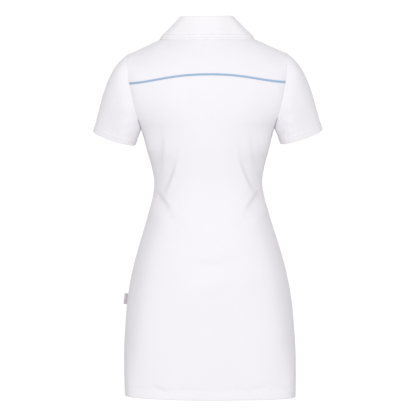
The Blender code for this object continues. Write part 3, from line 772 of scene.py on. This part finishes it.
blue_cotton = finish_with(
    "light blue cotton", ((0.300, 0.450, 0.640), (0.350, 0.505, 0.690)), 0.75, 0.1, bias_weave, slow_tint,
    0.00006,
)
piping_shares = np.linspace(0, 0.965, 90)
seam_line = lower_row("back", 2, piping_shares)
seam_down = unit(lower_row("back", NEAR_SEAM, piping_shares) - seam_line)
seam_out = unit(np.cross(unit(np.gradient(seam_line, axis=0)), seam_down))
cloth_in = crease_depth("back", seam_line) * (1 - piping_shares ** CREASE_HOLD)
cord_line = seam_line + seam_down * PIPING_WIDTH * PIPING_HANG
cord_line = cord_line + seam_out * ((LAY_GAP + PIPING_THICK) / 2 - cloth_in)[:, None]
angles = (math.tau * (np.arange(16) + 0.5) / 16)[:, None]
across = seam_down[:, None] * np.cos(angles) * PIPING_WIDTH / 2
half_piping = cord_line[:, None] + across + seam_out[:, None] * np.sin(angles) * PIPING_THICK / 2
piping_sections = filled(np.concatenate([half_piping[:0:-1], half_piping * MIRROR])[::-1])
piping = tube("piping", piping_sections, blue_cotton)
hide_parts("yoke_piping")

# Front: one piece of pique from the shoulder seams and neckline to the hem, cut like the back at waist and
# hem. The photograph doesn't show it, so it is plain but for the creases that the same cut throws.
front_shares = upper_shares("front", 36, 38)
front_rises = joined(skirt_rises, np.linspace(1, 2, 32), np.linspace(2, 2.97, 34), TOP_RISES)
front_grid, front_cloth, front_hem_stitches = cut_and_hem("front", front_rises, front_shares)
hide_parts("front")

# Placket: two strips of pique down the centre front, one over the other, closed. The over strip has a row
# of stitches along each edge and a bound buttonhole for each button.
PLACKET_WIDTH = 0.028
PLACKET_BOTTOM_Z = -0.205
STRIP_WALL = 0.0011
STRIP_ROW = 0.0120
STRIP_SINK = 0.0003
FRONT_WALL = 0.0015
BUTTON_LEVELS = (-0.086, -0.132, -0.178)
BUTTONHOLE_HALF = 0.0078
BUTTONHOLE_OPEN = 0.0009
BINDING_LIFT = 0.00005
BINDING_POINTS = 12


def rise_at(z):
    """The rise above the underarm at which the front's centre line reaches the level z."""
    low, high = 1.0, 3.0
    for _ in range(40):
        middle = (low + high) / 2
        reached = half_row("front", middle, np.array([0.0]))[0, 2]
        low, high = (middle, high) if reached < z else (low, middle)
    return low


def strip(rises, places, raise_by):
    """Points of a strip down the centre front, moved out from the front's own."""
    dense = np.linspace(0, 0.3, 60)
    grid = []
    for rise in rises:
        row = half_row("front", rise, dense)
        half = np.array([[np.interp(x, row[:, 0], row[:, axis]) for axis in range(3)] for x in places])
        grid.append(np.concatenate([half[:0:-1] * MIRROR, half]))
    grid = np.array(grid)
    return grid + normals(grid) * raise_by


strip_rises = spread(rise_at(PLACKET_BOTTOM_Z), 2.975, 0.022)
strip_places = joined(np.linspace(0, 0.0105, 6), (0.0105, 0.0113, 0.0120, 0.0127, 0.0135, 0.0140))
over_grid = strip(strip_rises, strip_places, LAY_GAP + STRIP_WALL)
sink = STRIP_SINK * near(np.abs(over_grid[..., 0]) - STRIP_ROW, STITCH_GROOVE)
over_grid = over_grid - normals(over_grid) * sink[..., None]
placket_over_cloth = shell("placket_over_cloth", over_grid, STRIP_WALL, white_pique)
under_grid = strip(strip_rises, strip_places, -FRONT_WALL - LAY_GAP)
placket_under_cloth = shell("placket_under_cloth", under_grid, STRIP_WALL, white_pique)
edge_columns = [nearest(over_grid[0, :, 0], x) for x in (-STRIP_ROW, STRIP_ROW)]
strip_seams = [seam_on(over_grid, INSIDE, column) for column in edge_columns]
strip_seams.append(seam_on(over_grid, 1, slice(4, -4)))
placket_stitches = stitches("placket_stitches", strip_seams, pitch=0.0028, length=0.0023)

up_and_down = np.append(np.arange(BINDING_POINTS), np.arange(BINDING_POINTS)[::-1])
bindings = []
for level in BUTTON_LEVELS:
    ends = rise_at(level - BUTTONHOLE_HALF), rise_at(level + BUTTONHOLE_HALF)
    lift = LAY_GAP + STRIP_WALL + BINDING_LIFT
    bound = strip(np.linspace(*ends, BINDING_POINTS), np.array([0, BUTTONHOLE_OPEN]), lift)
    sides = np.repeat((2, 0, 2), (BINDING_POINTS, BINDING_POINTS, 1))
    bindings.append(seam_on(bound, np.append(up_and_down, 0), sides))
buttonholes = stitches("buttonholes", bindings, pitch=0.0007, length=0.0010, radius=0.0003, arch=0.0006)
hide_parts("placket_over")
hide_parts("placket_under")

# Buttons: small dished discs of white plastic turned with a rim, sewn on through four holes with two bars
# of thread. They are fastened through the over strip.
BUTTON_RADIUS = 0.0054
# share of the radius, and height in millimetres, from the flat of the face round the rim to the back
BUTTON_PROFILE = np.array([
    (0.50, 1.4), (0.62, 1.5), (0.70, 1.8), (0.78, 2.1), (0.88, 2.2), (0.95, 2.0), (0.99, 1.6), (1.0, 1.2),
    (0.98, 0.8), (0.90, 0.3), (0.80, 0.0),
]) * (BUTTON_RADIUS, MM)
HOLE_RADIUS = 0.00062
HOLE_OFF = 0.0015625


def plastic_marks(tree):
    """Very fine polishing marks."""
    return noise(tree, 1800, 3)


button_plastic = finish_with(
    "white button", ((0.84, 0.84, 0.82), (0.90, 0.90, 0.89)), 0.28, 0.0, plastic_marks, slow_tint, 0.000006,
)


def button(name, seat, outward):
    """A turned disc with four holes, its face along the way outward."""
    turns = np.linspace(0, math.tau, 49)[:-1]
    rings = [[(r * math.cos(a), r * math.sin(a), z) for a in turns] for r, z in BUTTON_PROFILE[::-1]]
    disc = tube(name, np.array(rings), button_plastic)
    for turn in math.tau * (np.arange(4) + 0.5) / 4:
        bpy.ops.mesh.primitive_cylinder_add(
            vertices=16, radius=HOLE_RADIUS, depth=0.01,
            location=(HOLE_OFF * math.cos(turn), HOLE_OFF * math.sin(turn), 0.001),
        )
        drill = bpy.context.object
        drilled = disc.modifiers.new("hole", "BOOLEAN")
        drilled.object = drill
        drilled.solver = "EXACT"
        result = baked(disc)
        disc.modifiers.clear()
        disc.data = result
        bpy.data.objects.remove(drill)
    turned = Vector((0, 0, 1)).rotation_difference(Vector(outward)).to_matrix().to_4x4()
    turned.translation = Vector(seat)
    disc.data.transform(turned)
    disc.data.shade_smooth()
    disc.data.set_sharp_from_angle(angle=math.radians(40))
    bars = []
    off = HOLE_OFF * math.sqrt(0.5)
    for side in (-off, off):
        ends = [turned @ Vector((x, side, 0.0015)) for x in np.linspace(-off, off, 5)]
        bars.append((np.array(ends), np.tile(outward, (5, 1))))
    return disc, bars


bars = []
for number, level in enumerate(BUTTON_LEVELS, start=1):
    rise = rise_at(level)
    beside = strip(np.array([rise - 0.02, rise, rise + 0.02]), np.linspace(0, PLACKET_WIDTH / 2, 3), 0)
    outward = normals(beside)[1, 2]
    seat = beside[1, 2] + outward * (2 * LAY_GAP + STRIP_WALL)
    disc, disc_bars = button(f"shirt_button_{number}", seat, outward)
    bars += disc_bars
    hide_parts(f"button_{number}")
button_threads = stitches("button_threads", bars, pitch=0.0004, length=0.0009, radius=0.0003, arch=0.0003)

# Sleeves: short and set in, one piece of pique each, closed by a seam under the arm. The hem is turned up
# and held by two rows of stitches, and soft folds run out from the underarm.
CUFF_RADIUS_OUT = 0.052
CUFF_RADIUS_BACK = 0.048
CUFF_CENTRE = np.array((0.2252, -0.018, -0.2545))
CUFF_OUT = np.array((0.9455, 0, 0.3256))
CUFF_BACK = unit((0.0551, 0.9856, -0.1600))
SLEEVE_END_PULL = 0.92
SLEEVE_HEM = 0.0150
SLEEVE_HEM_ROWS = (0.0125, 0.0150)
SLEEVE_SINK = 0.0002
SLEEVE_COLUMNS = 150
SLEEVE_FOLD_LIP = 0.25
SEAM_PUCKER = 0.0006
SEAM_PUCKER_REACH = 0.0015
SEAM_RADIUS = 0.05
# angle round the arm from the shoulder, direction x, y, z and pull with which the sleeve leaves the seam
SLEEVE_START = np.array([
    (-40, 0.80, -0.14, -0.58, 0.85),
    (0, 0.81, 0.00, -0.59, 1.06),
    (40, 0.80, 0.10, -0.58, 0.85),
    (80, 0.78, -0.04, -0.62, 0.80),
    (120, 0.62, -0.06, -0.78, 0.80),
    (150, 0.50, -0.10, -0.86, 0.90),
    (180, 0.36, -0.16, -0.92, 1.00),
    (210, 0.46, -0.20, -0.86, 0.90),
    (240, 0.58, -0.22, -0.78, 0.80),
    (280, 0.76, -0.14, -0.63, 0.80),
    (320, 0.80, -0.14, -0.58, 0.85),
    (360, 0.81, 0.00, -0.59, 1.06),
    (400, 0.80, 0.10, -0.58, 0.85),
])
# angle round the arm and distance from the hem, at the start and at the end of a fold, then depth and reach
SLEEVE_FOLDS = np.array([
    (138, 60, 100, 40, 0.7, 8),
    (146, 42, 118, 26, 0.6, 7),
    (120, 85, 92, 80, 0.9, 9),
    (222, 62, 262, 44, 1.6, 9),
    (212, 44, 240, 27, 1.1, 7),
    (60, 100, 52, 60, 0.7, 12),
    (300, 98, 312, 55, 0.7, 12),
]) * (1, MM, 1, MM, MM, MM)


def half_turns(key):
    """How far round the arm a key of the armhole is, 1 being the seam under the arm."""
    return np.where(key <= UNDER_KEY, key / UNDER_KEY, 1 + (key - UNDER_KEY) / (END_KEY - UNDER_KEY))


def sleeve_column(key, band, rest):
    """Points of the left sleeve at a key: at the distances band from its hem, then at shares of the rest."""
    half_turn = half_turns(key)
    *leave, pull = through(SLEEVE_START[:, 0], SLEEVE_START[:, 1:], 180 * half_turn)
    start = armhole(key)
    angle = math.pi * half_turn
    out = CUFF_OUT * CUFF_RADIUS_OUT * math.cos(angle)
    end = CUFF_CENTRE + out + CUFF_BACK * CUFF_RADIUS_BACK * math.sin(angle)
    down = unit(np.cross(CUFF_BACK, unit(CUFF_OUT)))
    chord = np.linalg.norm(end - start)
    shares = np.linspace(1, 0, 121)[:, None]
    line = hermite(start, end, unit(leave) * pull * chord, down * SLEEVE_END_PULL * chord, shares)
    reached = lengths(line)
    wanted = np.concatenate([band, band[-1] + (reached[-1] - band[-1]) * rest])
    return np.stack([np.interp(wanted, reached, line[:, axis]) for axis in range(3)], axis=1)


sleeve_band = np.concatenate([
    [0, 0.0007, 0.0020, 0.0045, 0.0080], spread(0.0110, 0.0170, 0.00075), [0.0185, 0.0200, 0.0220],
])
sleeve_rest = joined(np.linspace(0, 0.980, 48), (0.980, 0.986, 0.991, 0.9955, 1.0))[1:]
sleeve_keys = (UNDER_KEY + np.linspace(0, END_KEY, SLEEVE_COLUMNS + 1)[:-1]) % END_KEY
sleeve = np.stack([sleeve_column(key, sleeve_band, sleeve_rest) for key in sleeve_keys], axis=1)
turn = 180 * half_turns(sleeve_keys) + 0 * sleeve[..., 0]
up = lengths(sleeve)
fold = np.zeros(up.shape)
for from_angle, from_up, to_angle, to_up, deep, reach in SLEEVE_FOLDS:
    shares = np.linspace(0, 1, 21)
    x = np.radians(turn[..., None] - (from_angle + (to_angle - from_angle) * shares)) * CUFF_RADIUS_OUT
    y = up[..., None] - (from_up + (to_up - from_up) * shares)
    distance = np.hypot(x, y)
    share = shares[distance.argmin(axis=-1)]
    fold += deep * trough(distance.min(axis=-1) / reach, share, SLEEVE_FOLD_LIP)
head = up[-1] - up
from_seam = np.radians(np.abs(turn - 180)) * SEAM_RADIUS
# the head of the sleeve rolls in fully only under the arm, between 120 and 240 degrees
under_arm = ease((turn - 70) / 50) * ease((290 - turn) / 50)
fold += ROLL_IN * (0.2 + 0.8 * under_arm) * near(head, ROLL_REACH)
fold += SEAM_PUCKER * near(from_seam, SEAM_PUCKER_REACH)
sleeve = sleeve[:, ::-1]
sleeve = sleeve - normals(sleeve, ring=True) * fold[:, ::-1, None]
past = np.where(sleeve_keys <= UNDER_KEY, (UNDER_KEY - sleeve_keys) / (UNDER_KEY - YOKE_KEY),
                (sleeve_keys - UNDER_KEY) / (CHEST_KEY - UNDER_KEY))
sleeve = filled(tucked(sleeve, head[:, ::-1], past[::-1]))
sleeve = hemmed(sleeve, SLEEVE_HEM, SLEEVE_HEM_ROWS, sink=SLEEVE_SINK, flare=0, ring=True)
sleeve_wall = hem_wall(sleeve, SLEEVE_HEM)
sleeve_rows_sewn = [nearest(lengths(sleeve)[:, 0], row) for row in SLEEVE_HEM_ROWS]
whole_turn = np.arange(SLEEVE_COLUMNS + 1) % SLEEVE_COLUMNS
for side, grid in (("left", sleeve), ("right", sleeve[:, ::-1] * MIRROR)):
    cloth = shell(f"sleeve_{side}_cloth", grid, sleeve_wall, white_pique, ring=True)
    rings = [seam_on(grid, row, whole_turn, ring=True) for row in sleeve_rows_sewn]
    hem = stitches(f"sleeve_{side}_stitches", rings)
    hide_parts(f"sleeve_{side}")

# Collar: flat-knit in fine ribs, stand and leaf in one, sewn to the neckline and folded over at its top.
# Two rows of stitches run round the leaf, some millimetres in from its edge.
COLLAR_WALL = 0.0018
FOLD_RADIUS = 0.0028
LEAF_BOW = -0.0006
LEAF_ROWS = (0.0048, 0.0130)
LEAF_SINK = 0.0012
LEAF_SETTLE = 0.0036
LEAF_SETTLE_REACH = 0.0080
EDGE_THIN = 0.0011
NECK_OPENING = 0.012
RIB_WIDTH = 0.0011
# millimetres from the leaf's edge to its outer points, which lie closest at the rows of stitches
LEAF_POINTS = np.array([
    15, 14.2, 13.6, 13, 12.4, 11.8, 10.6, 8.5, 6.8, 6, 5.4, 4.8, 4.2, 3.4, 2, 0.9, 0,
]) * MM
# share of the way from centre front to centre back, fold x, y, z, edge x, y, z
COLLAR = np.array([
    (0.00, 3, -85, -45.5, 40, -100.4, -103),
    (0.15, 23, -77, -32.5, 59, -91, -86),
    (0.32, 45, -53, -3.5, 88, -71.6, -56.5),
    (0.47, 59, -25, 22.5, 108.8, -42, -28.4),
    (0.60, 63.2, 5, 32.2, 115, 2, -17.8),
    (0.72, 56.3, 28, 32.9, 99.8, 34, -21.2),
    (0.84, 38, 42.5, 31.8, 69, 52.8, -23.7),
    (0.93, 17.8, 49, 30.9, 33.5, 68.9, -24.7),
    (1.00, 0, 50.5, 30.7, 0, 73.9, -25.1),
]) * ([1] + [MM] * 6)


def rib_lines(tree):
    """Fine ribs that run from the neck seam to the leaf's edge."""
    along, up = cloth_place(tree)
    return maths(tree, "MULTIPLY_ADD", noise(tree, 2600), 0.5, ribs(tree, up, RIB_WIDTH))


# Its white is set brighter than the pique's: partly the knit's own colour, partly painted light for the
# collar, which faces up towards the lamps.
white_rib_painted_light = finish_with(
    "white flat knit", ((0.885, 0.875, 0.903), (0.938, 0.928, 0.953)), 0.88, 0.12, rib_lines, pique_tint,
    0.00009,
)


def collar_profile(seam, fold, edge):
    """One section of the collar: up the stand from the neck seam, over the fold and down the leaf."""
    out = unit((edge - fold) * (1, 1, 0))
    stand = unit(fold - seam)
    leaf = unit(edge - fold)

    def bend(direction):
        return math.atan2(direction @ out, -direction[2]) % math.tau

    centre = fold - np.array((0, 0, FOLD_RADIUS))
    angles = np.linspace(bend(stand), bend(leaf), 13)[:, None]
    arc = centre + (out * np.cos(angles) + np.array((0, 0, 1)) * np.sin(angles)) * FOLD_RADIUS
    foot = seam + stand * SEAM_GAP
    bow = np.cross(unit(np.cross(out, (0, 0, 1))), leaf) * LEAF_BOW
    size = np.linalg.norm(edge - arc[-1])
    shares = joined(np.linspace(0, size - LEAF_POINTS[0], 9), size - LEAF_POINTS)[1:, None] / size
    leaf_points = arc[-1] + (edge - arc[-1]) * shares + bow * np.sin(math.pi * shares)
    stand_points = foot + (arc[0] - foot) * np.linspace(0, 1, 9)[:-1, None]
    return np.concatenate([stand_points, arc, leaf_points])


front_neck = np.linspace(0, NECK_SHARE["front"], 70)
front_neck[0] = NECK_OPENING
back_neck = np.linspace(NECK_SHARE["back"], 0, 60)
neck_seam = np.vstack([top_row("front", front_neck), top_row("back", back_neck)[1:]])
half_collar = []
for point, way in zip(neck_seam, lengths(neck_seam)):
    row = through(COLLAR[:, 0], COLLAR[:, 1:], way / lengths(neck_seam)[-1])
    half_collar.append(collar_profile(point, row[:3], row[3:]))
half_collar = np.array(half_collar)
collar_grid = np.concatenate([half_collar, half_collar[-2::-1] * MIRROR])
collar_grid = collar_grid + normals(collar_grid) * COLLAR_WALL / 2
from_edge = lengths(collar_grid[:, ::-1], 1)[:, ::-1]
sink = sum(near(from_edge - row, STITCH_GROOVE) for row in LEAF_ROWS) * LEAF_SINK
near_edge = 1 - ease(from_edge / LEAF_SETTLE_REACH)
beneath = np.concatenate([grid.reshape(-1, 3) for grid in (yoke_grid, front_grid)])
beneath_out = np.concatenate([normals(grid).reshape(-1, 3) for grid in (yoke_grid, front_grid)])
leaf_edge = collar_grid[:, -1] - normals(collar_grid)[:, -1] * COLLAR_WALL
closest = [((beneath - point) ** 2).sum(axis=1).argmin() for point in leaf_edge]
gap = ((leaf_edge - beneath[closest]) * beneath_out[closest]).sum(axis=1)
gap = np.convolve(np.pad(gap, 6, mode="edge"), np.ones(13) / 13, mode="valid")
settle = np.clip(gap + EDGE_THIN, 0, LEAF_SETTLE)
collar_grid = collar_grid - normals(collar_grid) * (sink + settle[:, None] * near_edge)[..., None]
collar_cloth = shell("collar_cloth", collar_grid, COLLAR_WALL - EDGE_THIN * near_edge, white_rib_painted_light)
leaf_columns = [nearest(from_edge[len(half_collar)], row) for row in LEAF_ROWS]
# The collar's stitches are pale grey, darker than the white cloth, so the two stitch rows read as dark
# lines: partly the thread's colour, partly painted shade for the grooves they lie in.
grey_thread_painted_shade = finish_with(
    "pale grey thread", ((0.62, 0.62, 0.66), (0.70, 0.70, 0.74)), 0.6, 0.1, thread_twist, thread_twist,
    0.00004,
)
collar_stitches = stitches(
    "collar_stitches", [seam_on(collar_grid, slice(3, -3), column) for column in leaf_columns],
    radius=0.00032, arch=0.0006, finish=grey_thread_painted_shade,
)
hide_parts("collar")

# Side tag: a short woven tape folded double, its ends caught in the left side seam. It is grey-pink satin
# and stays bare.
TAG_LEVEL = -0.642
TAG_HEIGHT = 0.026
TAG_OUT = 0.008
TAG_TILT = 0.2
TAG_THICK = 0.0011
TAG_LAYER = 0.00042


def tape_weave(tree):
    """Fine weft ribs across the tape."""
    along, up = cloth_place(tree)
    weft = maths(tree, "SINE", maths(tree, "MULTIPLY", up, math.tau / 0.0006))
    return maths(tree, "MULTIPLY_ADD", weft, 0.5, noise(tree, 2200))


def tape_tint(tree):
    """Soft uneven bands along the tape's height."""
    return noise(tree, 240)


grey_woven = finish_with(
    "grey woven tape", ((0.40, 0.35, 0.39), (0.66, 0.60, 0.63)), 0.55, 0.2, tape_weave, tape_tint, 0.00006,
)
half_thick = TAG_THICK / 2
bend = (TAG_THICK - TAG_LAYER) / 2
run = TAG_OUT - bend
layer = [(k * run, half_thick * (0.75 + 0.25 * math.sin(math.pi * k))) for k in np.linspace(0, 1, 10)[:-1]]
turns = np.linspace(0, math.pi, 7)
path = layer + [(run + bend * math.sin(a), half_thick * math.cos(a) * 0.75) for a in turns]
path += [(out, -y) for out, y in layer[::-1]]
tag_rows = []
for share in np.linspace(-0.5, 0.5, 15):
    level = TAG_LEVEL + share * TAG_HEIGHT
    root = body("back", level, 1.0)[0] + LAY_GAP
    tag_rows.append([(root + out, SIDE_SEAM_Y + y, level + out * TAG_TILT) for out, y in path])
tag_grid = filled(np.array(tag_rows)[:, ::-1])
tag_tape = shell("tag_tape", tag_grid, TAG_LAYER, grey_woven)
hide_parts("side_tag")

# Studio: a white room with the light mostly from the camera's side and above, a pale floor at the height of
# a wearer's feet, and a long lens level with the middle of the dress.
CAMERA_FAR = 5.0
CAMERA_Z = -0.4248
CAMERA_X = 0.0012
FRAME_WIDTH = 0.9984
CAMERA_ROLL = 0.53
SENSOR = 36
SOFTBOX_SIZE = 2.4
LIT_MIDDLE = Vector((0, 0, -0.42))
FLOOR_Z = -1.38

camera_data = bpy.data.cameras.new("camera")
camera_data.sensor_width = SENSOR
camera_data.lens = SENSOR * CAMERA_FAR / FRAME_WIDTH
camera = new_object("camera", camera_data)
camera.location = (CAMERA_X, CAMERA_FAR, CAMERA_Z)
camera.rotation_euler = (math.radians(90), math.radians(CAMERA_ROLL), math.radians(180))
bpy.context.scene.camera = camera


def softbox(name, place_at, power):
    """A square soft light that faces the middle of the dress."""
    data = bpy.data.lights.new(name, "AREA")
    data.shape = "SQUARE"
    data.size = SOFTBOX_SIZE
    data.energy = power
    light = new_object(name, data)
    light.location = place_at
    light.rotation_euler = (LIT_MIDDLE - Vector(place_at)).to_track_quat("-Z", "Y").to_euler()


softbox("key", (0.0, 4.7, 0.65), 105)
softbox("front_fill", (0.0, -4.7, 0.6), 90)

room = bpy.data.worlds.new("white room")
room.use_nodes = True
bpy.context.scene.world = room
nodes = room.node_tree.nodes
light_on_cloth = feed(nodes["Background"], Color=(1.0, 0.99, 1.0, 1), Strength=0.645)
white_wall = add(room.node_tree, "ShaderNodeBackground", Color=(1, 1, 1, 1), Strength=1.05)
seen = nodes.new("ShaderNodeLightPath").outputs["Is Camera Ray"]
either = add(room.node_tree, "ShaderNodeMixShader", seen, light_on_cloth, white_wall)
feed(nodes["World Output"], Surface=either)

bpy.ops.mesh.primitive_plane_add(size=14, location=(0, 0, FLOOR_Z))
floor = bpy.context.object
floor.name = "floor"
pale = bpy.data.materials.new("pale floor")
pale.use_nodes = True
feed(
    pale.node_tree.nodes["Principled BSDF"], Base_Color=(0.9, 0.9, 0.9, 1), Roughness=0.9,
    Emission_Color=(1, 1, 1, 1), Emission_Strength=0.45,
)
floor.data.materials.append(pale)
floor.visible_diffuse = False
floor.visible_glossy = False

bpy.context.scene.view_settings.view_transform = "Standard"
